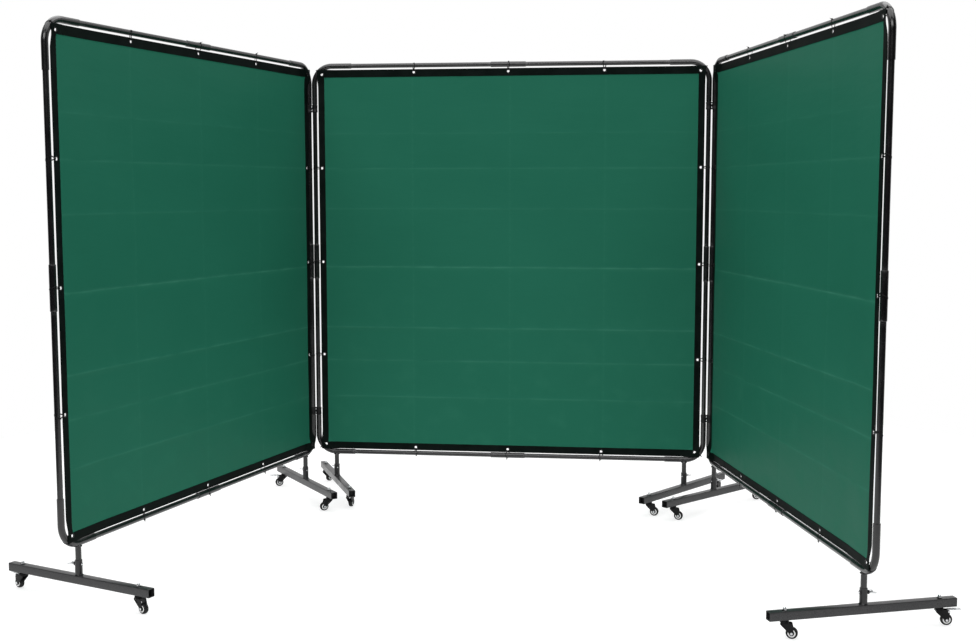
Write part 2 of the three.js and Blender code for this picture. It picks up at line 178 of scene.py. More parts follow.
# %% A profile carried along a line
def carried(profile, line, across, ring=False):
    """point(i, j) = line_i + a_j * across_i + b_j * (tangent_i x across_i), where the profile
    (a_j, b_j) may differ from station to station. Its ends are capped unless it's a ring."""
    line = np.asarray(line, float)
    count = len(line)
    profile = np.broadcast_to(profile, (count,) + np.shape(profile)[-2:])
    if ring:
        tangent = unit(np.roll(line, -1, 0) - np.roll(line, 1, 0))
    else:
        tangent = unit(np.gradient(line, axis=0))
    across = np.broadcast_to(across, line.shape)
    across = unit(across - (across * tangent).sum(1, keepdims=True) * tangent)
    third = np.cross(tangent, across)
    points = line[:, None] + profile[..., :1] * across[:, None] + profile[..., 1:] * third[:, None]
    around = profile.shape[1]
    faces = grid_faces(count, around, round_rows=ring).tolist()
    if not ring:
        faces += [list(range(around))[::-1], list(range((count - 1) * around, count * around))]
    return outward(points.reshape(-1, 3), faces)


def circle(radius, sides=24, turn=0.0):
    angle = np.linspace(0, 2 * np.pi, sides, endpoint=False) + turn
    radius = np.asarray(radius, float)[..., None]
    return np.stack([radius * np.cos(angle), radius * np.sin(angle)], -1)


print("a tube is drawn with", len(circle(1)), "points round it unless told otherwise")

# %% A profile turned round Z
def turned(profile, sides=32, ring=False, ripple=None):
    """point(i, j) = (r_i cos t_j, r_i sin t_j, z_i). The ends close in a point on the axis, or
    the profile is a closed ring. ripple(t) is added to the radii that it is given for."""
    profile = np.asarray(profile, float)
    angle = np.linspace(0, 2 * np.pi, sides, endpoint=False)
    radius = profile[:, :1] + (0 if ripple is None else ripple(angle, profile))
    level = np.broadcast_to(profile[:, 1:2], (len(profile), sides))
    points = np.stack([radius * np.cos(angle), radius * np.sin(angle), level], -1).reshape(-1, 3)
    faces = grid_faces(len(profile), sides, round_rows=ring).tolist()
    if not ring:
        low, high = len(points), len(points) + 1
        last = (len(profile) - 1) * sides
        around = np.arange(sides)
        following = (around + 1) % sides
        faces += np.stack([around * 0 + low, following, around], 1).tolist()
        faces += np.stack([around * 0 + high, last + around, last + following], 1).tolist()
        points = np.vstack([points, [[0, 0, profile[0, 1]], [0, 0, profile[-1, 1]]]])
    return outward(points, faces)


print("a turned cone has", len(turned([(2, 0), (1, 3)])[1]), "faces")

# %% A flat outline with a thickness and eased edges
def slab(outline, low, high, ease=0.4):
    """The outline at four levels: z = low and high, drawn in by ease, and just inside them at
    full size. Drawing in moves each point along the mean normal of its two edges."""
    outline = np.asarray(outline, float)
    ahead = unit(np.roll(outline, -1, 0) - outline)
    behind = unit(outline - np.roll(outline, 1, 0))
    normal = unit(np.stack([-(ahead + behind)[:, 1], (ahead + behind)[:, 0]], 1))
    following = np.roll(outline, -1, 0)
    area = (outline[:, 0] * following[:, 1] - following[:, 0] * outline[:, 1]).sum()
    inner = outline + normal * ease * np.sign(area)
    levels = [(inner, low), (outline, low + ease), (outline, high - ease), (inner, high)]
    points = np.vstack([np.column_stack([o, np.full(len(o), z)]) for o, z in levels])
    count = len(outline)
    faces = grid_faces(4, count).tolist()
    faces += [list(range(count))[::-1], list(range(3 * count, 4 * count))]
    return outward(points, faces)


def arc(centre, radius, start, end, steps=10):
    """Points on a circle, from one angle in degrees to another."""
    angle = np.radians(np.linspace(start, end, steps))
    return np.column_stack([centre[0] + radius * np.cos(angle), centre[1] + radius * np.sin(angle)])


def rounded_box(half_x, half_y, radius, steps=6):
    corners = [(1, 1, 0), (-1, 1, 90), (-1, -1, 180), (1, -1, 270)]
    return np.vstack([
        arc((sx * (half_x - radius), sy * (half_y - radius)), radius, start, start + 90, steps)
        for sx, sy, start in corners
    ])


print("a rounded slab has", len(slab(rounded_box(9, 6, 2), 0, 3)[1]), "faces")

# %% Shifting and turning shells before they are placed
def shifted(shell, x=0.0, y=0.0, z=0.0):
    return shell[0] + np.array([x, y, z], float), shell[1]


def swapped(shell, axes):
    """axes is three rows: where local X, Y and Z go. It is a pure turn, so faces keep their side."""
    return shell[0] @ np.array(axes, float), shell[1]


def mirrored(shell):
    """The other side's twin: Y changes sign, so each face is listed the other way round."""
    return shell[0] * (1, -1, 1), [face[::-1] for face in shell[1]]


ALONG_X = [[0, 1, 0], [0, 0, 1], [1, 0, 0]]      # Z becomes X
ALONG_Y = [[0, 0, 1], [1, 0, 0], [0, 1, 0]]      # Z becomes Y
UPRIGHT = [[1, 0, 0], [0, 0, 1], [0, -1, 0]]     # a plan in XY stands up in XZ
print("shell helpers ready")

# %% [markdown]
# ## Finishes
# Each finish is a Principled shader whose colour and roughness vary a little over the
# surface. A small class lets Python arithmetic build the Math nodes, so a mask reads like a
# formula. One method makes every other node.

# %% Socket arithmetic
class Number:
    """A socket that holds a number. Sums and products of it add Math nodes to its finish."""

    def __init__(self, finish, socket):
        self.finish = finish
        self.socket = socket

    def math(self, operation, first, second):
        made = self.finish.node("ShaderNodeMath", {"operation": operation}, {0: first, 1: second})
        return Number(self.finish, made.outputs[0])

    def __add__(self, other):
        return self.math("ADD", self, other)

    __radd__ = __add__

    def __mul__(self, other):
        return self.math("MULTIPLY", self, other)

    __rmul__ = __mul__

    def over(self, low, high):
        """0 below low, 1 above high, and a straight line between."""
        values = {"Value": self, "From Min": low, "From Max": high}
        made = self.finish.node("ShaderNodeMapRange", {"clamp": True}, values)
        return Number(self.finish, made.outputs[0])


class Finish:
    """A material in the making."""

    def __init__(self, name, **constants):
        self.material = bpy.data.materials.new(name)
        self.material.use_nodes = True
        self.tree = self.material.node_tree
        self.shader = self.tree.nodes["Principled BSDF"]
        self.feed(self.shader, constants)
        self.place = self.node("ShaderNodeTexCoord").outputs["Object"]

    def feed(self, node, values):
        for key, value in values.items():
            socket = node.inputs[key]
            value = getattr(value, "socket", value)
            if isinstance(value, bpy.types.NodeSocket):
                self.tree.links.new(value, socket)
            else:
                socket.default_value = value

    def node(self, kind, settings=None, values=None):
        made = self.tree.nodes.new(kind)
        for key, value in (settings or {}).items():
            setattr(made, key, value)
        self.feed(made, values or {})
        return made

    def set(self, **values):
        self.feed(self.shader, {key.replace("_", " "): value for key, value in values.items()})

    def noise(self, scale, detail=3.0, stretch=None, place=None):
        """Soft noise from 0 to 1 with so many features to the metre, drawn out where stretch is low."""
        place = self.place if place is None else place
        if stretch is not None:
            mapping = {"Vector": place, "Scale": stretch}
            place = self.node("ShaderNodeMapping", {}, mapping).outputs[0]
        values = {"Vector": place, "Scale": scale, "Detail": detail}
        return Number(self, self.node("ShaderNodeTexNoise", {}, values).outputs[0])

    def stored(self, name):
        """A number that the mesh carries at each of its points."""
        made = self.node("ShaderNodeAttribute", {"attribute_name": name})
        return Number(self, made.outputs["Fac"])

    def mixed(self, factor, first, second):
        values = {0: factor, 6: first, 7: second}
        made = self.node("ShaderNodeMix", {"data_type": "RGBA"}, values)
        return made.outputs[2]

    def bump(self, height, distance, strength=1.0):
        values = {"Height": height, "Distance": distance, "Strength": strength}
        self.set(Normal=self.node("ShaderNodeBump", {}, values).outputs[0])


print("finish helpers ready")

# %% [markdown]
# ### Black paint
# The tubes carry a hard gloss powder coat with a faint orange peel. Dust settles on it in
# soft patches, and the coat wears thin at the lips of the sleeves, where one tube slides in
# another. The feet are the same coat, duller from being kicked and rolled about.

# %% Paints
WORN_STEEL = (0.08, 0.08, 0.083, 1)


def paint(name, colour, dusty, rough, peel, coat, gloss=0.5):
    made = Finish(name, **{"Coat Weight": coat, "Coat Roughness": 0.12, "Specular IOR Level": gloss})
    patches = made.noise(9, 4).over(0.35, 0.75)
    specks = made.noise(600, 2).over(0.62, 0.8)
    worn = made.stored("wear") * made.noise(350, 3).over(0.35, 0.6)
    tone = made.mixed(patches * 0.6 + specks * 0.25, colour, dusty)
    tone = made.mixed(worn * 0.4, tone, WORN_STEEL)
    made.set(Base_Color=tone, Roughness=patches * 0.12 + specks * 0.1 + rough)
    made.bump(made.noise(peel, 2), 0.00006)
    return made.material


GLOSS_BLACK = paint(
    "gloss_black_coat", (0.0035, 0.0035, 0.004, 1), (0.011, 0.011, 0.012, 1),
    rough=0.2, peel=420, coat=0.2,
)
SATIN_BLACK = paint(
    "satin_black_coat", (0.006, 0.006, 0.007, 1), (0.015, 0.015, 0.017, 1),
    rough=0.27, peel=520, coat=0.08, gloss=0.42,
)
CASTER_BLACK = paint(
    "caster_black_coat", (0.003, 0.003, 0.0035, 1), (0.01, 0.01, 0.011, 1),
    rough=0.34, peel=700, coat=0.0, gloss=0.16,
)
print("paints:", GLOSS_BLACK.name, SATIN_BLACK.name, CASTER_BLACK.name)

# %% [markdown]
# ### Bare metal, rubber and nylon
# Nuts, wing bolts and brake pedals are zinc plated: bright, faintly clouded, with fine
# scratches. The eyelets are blackened brass, the tyres are moulded rubber with dust in the
# tread, and the ties and plugs are dull nylon.

# %% Metal finishes
def metal(name, colour, cloud, rough, scratch):
    made = Finish(name, Metallic=1.0)
    clouds = made.noise(160, 4).over(0.3, 0.7)
    marks = made.noise(90, 5, stretch=(1, 14, 3)).over(0.55, 0.75)
    made.set(Base_Color=made.mixed(clouds * 0.7 + marks * 0.3, colour, cloud))
    made.set(Roughness=clouds * 0.14 + marks * 0.1 + rough)
    made.bump(made.noise(scratch, 4, stretch=(1, 9, 2)), 0.00005)
    return made.material


ZINC = metal("zinc_plate", (0.78, 0.79, 0.8, 1), (0.5, 0.52, 0.54, 1), 0.22, 300)
EYELET_METAL = metal("blackened_brass", (0.045, 0.045, 0.047, 1), (0.02, 0.02, 0.021, 1), 0.34, 500)
print("metals:", ZINC.name, EYELET_METAL.name)


# %% Rubber and nylon
def moulded(name, colour, dusty, rough, grain, depth, gloss=0.5):
    made = Finish(name, **{"Specular IOR Level": gloss})
    dust = made.noise(45, 4).over(0.4, 0.8)
    fine = made.noise(grain, 3)
    made.set(Base_Color=made.mixed(dust * 0.7 + fine * 0.2, colour, dusty))
    made.set(Roughness=dust * 0.15 + fine * 0.1 + rough)
    made.bump(fine, depth)
    return made.material


TYRE_RUBBER = moulded(
    "tyre_rubber", (0.005, 0.005, 0.0055, 1), (0.02, 0.02, 0.019, 1),
    rough=0.5, grain=900, depth=0.00015, gloss=0.2,
)
BLACK_NYLON = moulded(
    "black_nylon", (0.004, 0.004, 0.0045, 1), (0.013, 0.013, 0.014, 1),
    rough=0.36, grain=1400, depth=0.00006, gloss=0.2,
)
HUB_SILVER = moulded(
    "hub_silver", (0.88, 0.88, 0.88, 1), (0.66, 0.66, 0.66, 1),
    rough=0.3, grain=1100, depth=0.00005,
)
print("mouldings:", TYRE_RUBBER.name, BLACK_NYLON.name, HUB_SILVER.name)

# %% [markdown]
# ### Tinted vinyl
# The curtain is a green vinyl film. It came folded, so it keeps pale crease lines, mostly
# level, and its lower half is scuffed from handling. It has a soft sheen that drifts with
# small hollows in the film. The hem is the same film, welded double over a black tape.

# %% Vinyl and hem
DEEP_GREEN, CLEAR_GREEN = (0.0128, 0.117, 0.072, 1), (0.0165, 0.131, 0.083, 1)
SCUFFED_GREEN, CREASED_GREEN = (0.024, 0.15, 0.095, 1), (0.06, 0.24, 0.165, 1)


def vinyl():
    made = Finish("green_vinyl", **{"Specular IOR Level": 0.04})
    cloth = made.node("ShaderNodeUVMap", {"uv_map": "cloth"}).outputs[0]
    crease = made.stored("crease") * made.noise(7, 4, stretch=(1, 6, 1), place=cloth).over(0.32, 0.6)
    scuffs = made.stored("handled") * made.noise(9, 6, place=cloth).over(0.52, 0.72)
    drift = made.noise(1.6, 3, place=cloth)
    hairs = made.noise(28, 5, stretch=(0.35, 5, 1), place=cloth).over(0.66, 0.8)
    tone = made.mixed(drift, DEEP_GREEN, CLEAR_GREEN)
    tone = made.mixed(scuffs * 0.35 + hairs * 0.12, tone, SCUFFED_GREEN)
    tone = made.mixed(crease * 0.5, tone, CREASED_GREEN)
    made.set(Base_Color=tone, Roughness=drift * 0.12 + scuffs * 0.12 + crease * 0.1 + 0.42)
    ripples = made.noise(6, 4, stretch=(0.6, 2.4, 1), place=cloth)
    grain = made.noise(900, 2)
    made.bump(ripples * 0.9 + grain * 0.02 + crease * 0.1, 0.0035, 0.6)
    return made.material


def hem_tape():
    made = Finish("black_hem", **{"Specular IOR Level": 0.02})
    cloth = made.node("ShaderNodeUVMap", {"uv_map": "cloth"}).outputs[0]
    patches = made.noise(14, 4, place=cloth).over(0.35, 0.75)
    grain = made.noise(1500, 2)
    made.set(Base_Color=made.mixed(patches, (0.0028, 0.0052, 0.0045, 1), (0.006, 0.0095, 0.0085, 1)))
    made.set(Roughness=patches * 0.14 + grain * 0.08 + 0.42)
    made.bump(grain * 0.4 + made.stored("weld") * 0.6, 0.0002)
    return made.material


GREEN_VINYL = vinyl()
BLACK_HEM = hem_tape()
print("sheets:", GREEN_VINYL.name, BLACK_HEM.name)

# %% [markdown]
# ## Turning shells into pieces
# A piece joins its shells into one mesh with its place in the points, so its object stays
# at the origin. It rides on a body and may stand for solids.

# %% Making a piece
SHARP = math.radians(38)


def make(name, shells, finishes, body, stands_for=(), stored=None, face_finish=None):
    """One mesh from shells in the frame, with numbers stored at its points and, for two
    finishes, the finish of each face. Edges sharper than SHARP stay sharp."""
    points, faces = [], []
    for shell_points, shell_faces in shells:
        start = sum(len(p) for p in points)
        points.append(shell_points)
        faces += [[index + start for index in face] for face in shell_faces]
    points = np.vstack(points)
    mesh = bpy.data.meshes.new(name)
    mesh.from_pydata(points.tolist(), [], faces)
    finishes = finishes if isinstance(finishes, (list, tuple)) else [finishes]
    for finish in finishes:
        mesh.materials.append(finish)
    if face_finish is not None:
        mesh.polygons.foreach_set("material_index", np.asarray(face_finish, np.int32))
    for key, values in (stored or {}).items():
        attribute = mesh.attributes.new(key, "FLOAT", "POINT")
        attribute.data.foreach_set("value", np.asarray(values, np.float32))
    mesh.shade_smooth()
    mesh.set_sharp_from_angle(angle=SHARP)
    piece = bpy.data.objects.new(name, mesh)
    bpy.context.scene.collection.objects.link(piece)
    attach(piece, body)
    if stands_for:
        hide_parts(*stands_for)
    return piece


def put(place, *shells):
    """Shells in millimetres, set down in the frame."""
    return [(place.of(points), faces) for points, faces in shells]


print("edges over", round(math.degrees(SHARP)), "degrees stay sharp")

# %% [markdown]
# ## The tube frames
# A frame is four lengths of tube. The rails end in corner bends of wider tube that the
# uprights plug into, and each side has a short sleeve at its middle, where its two halves
# meet. One line runs through a rail from end to end, and a round profile is carried along
# it whose radius steps at each sleeve's lip.

# %% A rail
BEND_LENGTH = BEND_RADIUS * math.pi / 2
REACH = BEND_LEG + BEND_LENGTH
LEVEL = 2 * (HALF - BEND_RADIUS)
RAIL_LENGTH = 2 * REACH + LEVEL
MIDDLE_SLEEVE = 160
LIP = 1.1
ROUND = 28             # points round a tube
LEG_FOOT = -115        # the leg's lower end, inside the foot's socket


def rail_line(s):
    """Along a rail by length: up a bend's straight end, round the quarter circle, level, and
    down the same way at the other end. X and the height above the rail's axis."""
    half = RAIL_LENGTH / 2
    left = np.minimum(s, RAIL_LENGTH - s)
    turn = np.clip((left - BEND_LEG) / BEND_RADIUS, 0, math.pi / 2)
    inward = BEND_RADIUS * (1 - np.cos(turn)) + np.maximum(left - REACH, 0)
    down = BEND_RADIUS * (1 - np.sin(turn)) + np.maximum(BEND_LEG - left, 0)
    x = np.where(s < half, inward - HALF, HALF - inward)
    return x, down


def stepped_line(length, sleeves, extra):
    """Stations by length, and a radius and a wear at each. Each sleeve (from, to) rises from the
    tube over a small rounded lip. A sleeve that reaches the line's end simply ends there."""
    stations = [np.array(extra, float)]
    for low, high in sleeves:
        for edge, way in ((low, 1), (high, -1)):
            if 0 < edge < length:
                stations.append(edge + way * np.array([-0.05, 0, 0.12, 0.45, LIP, 9.0]))
    s = np.unique(np.round(np.concatenate(stations + [[0.0, length]]), 3))
    radius, wear = np.full(len(s), TUBE / 2), np.zeros(len(s))
    for low, high in sleeves:
        inside = np.minimum(s - (low if low > 0 else -99), (high if high < length else length + 99) - s)
        rise = np.clip(1 - inside / LIP, 0, 1)
        lifted = SLEEVE / 2 - LIP * (1 - np.sqrt(1 - rise ** 2))
        radius = np.where(inside >= 0, lifted, radius)
        wear = np.maximum(wear, np.where(inside >= -0.1, np.exp(-np.abs(inside) / 3), 0))
    return s, radius, wear


def rail(sign):
    sleeves = [(0, REACH + BEND_LEG), (RAIL_LENGTH - REACH - BEND_LEG, RAIL_LENGTH)]
    sleeves.append(((RAIL_LENGTH - MIDDLE_SLEEVE) / 2, (RAIL_LENGTH + MIDDLE_SLEEVE) / 2))
    round_bend = np.linspace(BEND_LEG, REACH, 21)
    level = np.linspace(REACH, RAIL_LENGTH - REACH, 40)
    extra = np.concatenate([round_bend, RAIL_LENGTH - round_bend, level])
    s, radius, wear = stepped_line(RAIL_LENGTH, sleeves, extra)
    x, down = rail_line(s)
    z = down if sign < 0 else SIDE - down
    line = np.column_stack([x, 0 * x, z])
    return carried(circle(radius, ROUND), line, (0, 1, 0)), np.repeat(wear, ROUND)


def leg():
    """Round leg under the lower rail, with a weld bead where it meets the bend."""
    profile = [(9.9, LEG_FOOT), (10.5, LEG_FOOT + 0.6), (10.5, -16.5), (11.4, -15.8), (13.2, -14.0)]
    profile += [(13.9, -12.4), (13.4, -10.8), (11.5, -9.5), (10.0, -6.0)]
    return turned(profile, ROUND, ripple=bead(11.0, 0.25, 17, 29, 1.3))


def bead(bar, rise, coarse, fine, phase):
    """Weld ripples: short waves in the radius where the profile is wider than the bar."""
    def ripple(angle, profile):
        fat = np.clip((profile[:, :1] - bar) / 2, 0, 1)
        return fat * (rise * np.sin(coarse * angle) + 0.2 * np.sin(fine * angle + phase))

    return ripple


print("a rail is", round(RAIL_LENGTH), "mm of tube")

# %% Uprights and hinge clips
BEND_END = BEND_RADIUS + BEND_LEG
PLUG = 40              # how far an upright runs on inside a bend
CLIP_HEIGHT = 34
CLIP_GAP = 2           # between a bend's end and the hinge clip beside it
CLIP_SPACING = 26.5
CLIP_RADIUS = 12.75


def upright(side):
    low, high = BEND_END - PLUG, SIDE - BEND_END + PLUG
    length = high - low
    middle = [((length - MIDDLE_SLEEVE) / 2, (length + MIDDLE_SLEEVE) / 2)]
    s, radius, wear = stepped_line(length, middle, np.linspace(0, length, 40))
    line = np.column_stack([0 * s + side * HALF, 0 * s, low + s])
    return carried(circle(radius, ROUND), line, (0, 1, 0)), np.repeat(wear, ROUND)


def clip_ring(x, low):
    """A ring with eased edges and a grip groove, as a closed profile turned round the tube."""
    r, inside, high = CLIP_RADIUS, 10.6, low + CLIP_HEIGHT
    profile = [(inside, low + 0.6), (inside + 0.6, low), (r - 0.8, low), (r, low + 0.8), (r, low + 9)]
    profile += [(r - 0.5, low + 9.8), (r - 0.5, high - 9.8), (r, high - 9), (r, high - 0.8)]
    profile += [(r - 0.8, high), (inside + 0.6, high), (inside, high - 0.6)]
    return shifted(turned(profile, 32, ring=True), x=x)


def hinge_clip(side, low):
    own = side * HALF
    other = own + side * CLIP_SPACING
    middle = (own + other) / 2
    web = slab(rounded_box(5.2, 3.6, 1.2), low + 0.4, low + CLIP_HEIGHT - 0.4, 0.5)
    screw = swapped(turned([(2.9, -1.5), (3.4, -1.0), (3.4, 0.0), (2.6, 0.9), (1.0, 1.2)], 20), ALONG_Y)
    screws = [shifted(mirrored(screw), middle, -4.2, low + h) for h in (9, CLIP_HEIGHT - 9)]
    return [clip_ring(own, low), clip_ring(other, low), shifted(web, x=middle)], screws


print("an upright is", round(SIDE - 2 * (BEND_END - PLUG), 1), "mm long")

# %% Build the three frames
for panel, place in PANELS.items():
    body = f"{panel}_panel"
    for part, sign in (("top_rail", 1), ("bottom_rail", -1)):
        shell, wear = rail(sign)
        shells = [shell]
        if sign < 0:
            legs = [shifted(leg(), x=side * LEG_X) for side in (-1, 1)]
            shells += legs
            wear = np.concatenate([wear, np.zeros(sum(len(s[0]) for s in legs))])
        node = f"{panel}_{part}"
        make(f"{node}_tube", put(place, *shells), GLOSS_BLACK, body, [node], {"wear": wear})
    for part, side in (("left_upright", -1), ("right_upright", 1)):
        shell, wear = upright(side)
        node = f"{panel}_{part}"
        make(f"{node}_tube", put(place, shell), GLOSS_BLACK, body, [node], {"wear": wear})
    print(panel, "frame made")

for part, side in (("left", -1), ("right", 1)):
    clips, screws = [], []
    for low in (BEND_END + CLIP_GAP, SIDE - BEND_END - CLIP_GAP - CLIP_HEIGHT):
        clip, heads = hinge_clip(side, low)
        clips += clip
        screws += heads
    make(f"{part}_hinge_clips", put(PANELS["centre"], *clips), BLACK_NYLON, "centre_panel")
    make(f"{part}_clip_screws", put(PANELS["centre"], *screws), ZINC, "centre_panel")
print("hinge clips made")

# %% [markdown]
# ## The curtains
# A curtain is a flat sheet a little smaller than its frame, with a wide hem. It could be
# cloth-simulated, but it is held at sixteen points and hardly moves, so its shape is
# written down: slow hollows, sharp creases where it was folded, and corners drawn past the
# bends they are tied to. The grid is closer at the hem, the creases and the eyelets, and
# the cells round each eyelet are replaced by a ring of faces that meets a round hole.

# %% The sheet's shape
SHEET_X = 888.0
SHEET_LOW, SHEET_HIGH = 13.75, 1792.25
EYELET_INSET = 14.0
EYELETS_X = np.linspace(EYELET_INSET - SHEET_X, SHEET_X - EYELET_INSET, 5)
EYELETS_Z = np.linspace(SHEET_LOW + EYELET_INSET, SHEET_HIGH - EYELET_INSET, 5)
CORNER_X = SHEET_X - EYELET_INSET - 7.5
CORNER_Z = (SHEET_LOW + EYELET_INSET + 9.5, SHEET_HIGH - EYELET_INSET - 7.5)
SPOTS = [(sx * CORNER_X, z) for sx in (-1, 1) for z in CORNER_Z]
SPOTS += [(sx * EYELETS_X[4], z) for sx in (-1, 1) for z in EYELETS_Z[1:4]]
SPOTS += [(x, z) for x in EYELETS_X[1:4] for z in EYELETS_Z[[0, 4]]]
HEM_SIDE, HEM_TOP, HEM_BOTTOM = 30.0, 35.0, 33.0
FOLDS_DOWN = np.array([0.165, 0.255, 0.36, 0.512, 0.672, 0.76, 0.857])
FOLDS_Z = SHEET_HIGH - (SHEET_HIGH - SHEET_LOW) * FOLDS_DOWN
FOLD_WEIGHTS = np.array([0.25, 0.45, 0.35, 1.0, 0.75, 0.6, 0.5])
FOLDS_X = np.array([-0.25, 0.005, 0.25]) * 2 * SHEET_X
HINGE_SIDE = {"centre": 0, "left": 1, "right": -1}
HOLE = 5.8
NEAR_TUBE = HALF - 60
print(len(SPOTS), "eyelets and", len(FOLDS_Z) + len(FOLDS_X), "folds on a sheet")


def ramp(value):
    value = np.clip(value, 0, 1)
    return value * value * (3 - 2 * value)


def from_edge(x, z):
    """How far a point of the flat sheet is from its nearest edge."""
    return np.minimum(SHEET_X - np.abs(x), np.minimum(z - SHEET_LOW, SHEET_HIGH - z))


def fold_lines(x, z):
    """1 on a fold and less within a few millimetres of it, weaker for the folds across."""
    level = (np.exp(-np.abs(z[..., None] - FOLDS_Z) / 3.2) * FOLD_WEIGHTS).max(-1)
    plumb = np.exp(-np.abs(x[..., None] - FOLDS_X) / 3.2).max(-1) * 0.22
    return np.maximum(level, plumb)


def depth(x, z, panel):
    """How far the sheet's middle stands out of the panel's plane: slow waves, plus a sharp ridge
    or valley at each fold, plus the corners drawn past the bends. A side panel's free edge is
    tied against the front of its upright."""
    wave = 1.7 * np.sin(x / 208 + 0.6) * np.sin(z / 156 + 1.1) + 1.1 * np.sin((0.6 * x + z) / 89 + 2)
    ways = np.where(np.arange(len(FOLDS_Z)) % 2, 1.0, -1.0) * FOLD_WEIGHTS
    ridge = (np.exp(-np.abs(z[..., None] - FOLDS_Z) / 16) * ways).sum(-1) * 1.3
    ridge += (np.exp(-np.abs(x[..., None] - FOLDS_X) / 16)).sum(-1) * 0.4
    calm = 0.25 + 0.75 * ramp(from_edge(x, z) / 160)
    from_corner = (HALF - np.abs(x)) + np.minimum(z, SIDE - z)
    pulled = ramp((120 - from_corner) / 55)
    free_edge = 7.0 * ramp((260 - x * HINGE_SIDE[panel] - HALF) / 200) * abs(HINGE_SIDE[panel])
    flat = (wave + ridge) * calm * (1 - ramp((150 - from_corner) / 60))
    return flat - free_edge * (1 - pulled) - 14.6 * pulled


def thickness(x, z):
    """Half the sheet's thickness: the film, twice folded at the hem and rounded at its edge."""
    side = SHEET_X - np.abs(x)
    into = np.minimum(side - HEM_SIDE, np.minimum(z - SHEET_LOW - HEM_BOTTOM, SHEET_HIGH - z - HEM_TOP))
    eased = 0.5 + 0.5 * np.clip(from_edge(x, z) / 0.8, 0, 1)
    return np.where(into > 0.4, 0.25, 0.8) * eased


# %% The sheet's grid
def grid_lines(low, high, hems, folds, spots):
    """Line places from low to high: every 4 mm in the hems, close together at a hem's seam and
    at a fold, 4 mm apart beside an eyelet, and at most 15 mm apart elsewhere."""
    seams = np.concatenate([low + hems[0] + np.array([0, 0.8]), high - hems[1] - np.array([0, 0.8])])
    strips = np.concatenate([low + np.arange(5, 50, 4), high - np.arange(5, 50, 4)])
    strips = np.concatenate([strips] + [spot + np.array([-8.0, -4, 0, 4, 8]) for spot in spots])
    strips = strips[np.abs(strips[:, None] - seams).min(1) > 1.5]
    creases = np.concatenate([fold + np.array([-7, -2.5, 0, 2.5, 7]) for fold in folds])
    lines = np.unique(np.concatenate([[low, low + 0.8, high - 0.8, high], seams, strips, creases]))
    lines = lines[np.concatenate([[True], np.diff(lines) > 0.7])]
    counts = np.maximum(1, np.round(np.diff(lines) / 15)).astype(int)
    return np.unique(np.interp(
        np.concatenate([k + np.arange(n) / n for k, n in enumerate(counts)] + [[len(counts)]]),
        np.arange(len(lines)), lines,
    ))


def block_rim(i, i2, j, j2, nx):
    """The grid points round a block of cells, anticlockwise from its low corner."""
    across, up = np.arange(i, i2), np.arange(j, j2)
    return np.concatenate([
        j * nx + across, up * nx + i2,
        j2 * nx + (i + i2 - across), (j + j2 - up) * nx + i,
    ])


print("a block of 2 x 2 cells has", len(block_rim(0, 2, 0, 2, 9)), "points round it")

# %% The sheet's shell
def curtain_shell(panel):
    """The closed sheet, front and back, with a round hole at each eyelet: the cells round it
    make way for a ring of faces from the block's rim to points on a circle, at the same
    angles. Also gives each face's finish, and each point's flat place."""
    xs = grid_lines(-SHEET_X, SHEET_X, (HEM_SIDE, HEM_SIDE), FOLDS_X, EYELETS_X[1:4])
    zs = grid_lines(SHEET_LOW, SHEET_HIGH, (HEM_BOTTOM, HEM_TOP), FOLDS_Z, EYELETS_Z[1:4])
    nx, nz = len(xs), len(zs)
    x, z = (a.ravel() for a in np.meshgrid(xs, zs))
    keep = np.ones((nz - 1, nx - 1), bool)
    rings, loops = [], []
    for cx, cz in SPOTS:
        i, i2 = np.searchsorted(xs, cx - 7.2) - 1, np.searchsorted(xs, cx + 7.2)
        j, j2 = np.searchsorted(zs, cz - 7.2) - 1, np.searchsorted(zs, cz + 7.2)
        keep[j:j2, i:i2] = False
        rim = block_rim(i, i2, j, j2, nx)
        angle = np.arctan2(z[rim] - cz, x[rim] - cx)
        hole = len(x) + np.arange(len(rim))
        x = np.concatenate([x, cx + HOLE * np.cos(angle)])
        z = np.concatenate([z, cz + HOLE * np.sin(angle)])
        rings.append(np.stack([rim, np.roll(rim, -1), np.roll(hole, -1), hole], 1))
        loops.append(hole[::-1])
    cells = grid_faces(nz, nx, round_columns=False)[keep.ravel()]
    front = np.vstack([cells] + rings)
    loops.append(block_rim(0, nx - 1, 0, nz - 1, nx))
    count = len(x)
    walls = [np.stack([np.roll(a, -1), a, a + count, np.roll(a, -1) + count], 1) for a in loops]
    faces = np.vstack([front, front[:, ::-1] + count] + walls)
    y, half = depth(x, z, panel), thickness(x, z)
    points = np.column_stack([np.tile(x, 2), np.concatenate([y - half, y + half]), np.tile(z, 2)])
    flat = np.column_stack([np.tile(x, 2), np.tile(z, 2)])
    middle = flat[faces].mean(1)
    up = np.minimum(middle[:, 1] - SHEET_LOW - HEM_BOTTOM, SHEET_HIGH - HEM_TOP - middle[:, 1])
    inner = np.minimum(SHEET_X - HEM_SIDE - np.abs(middle[:, 0]), up)
    points, face_list = outward(points, faces.tolist())
    return points, face_list, (inner < 0).astype(int), flat


print("a sheet has", len(curtain_shell("centre")[1]), "faces")

# %% Eyelets and ties
def eyelet():
    """A closed profile turned round the hole: a rolled flange on each face and a barrel."""
    profile = [(5.5, -0.9), (6.0, -1.3), (7.8, -1.3), (9.0, -1.05), (9.3, -0.85), (5.9, -0.82)]
    profile += [(r, -n) for r, n in profile[::-1]]
    return swapped(turned(profile, 24, ring=True), ALONG_Y)


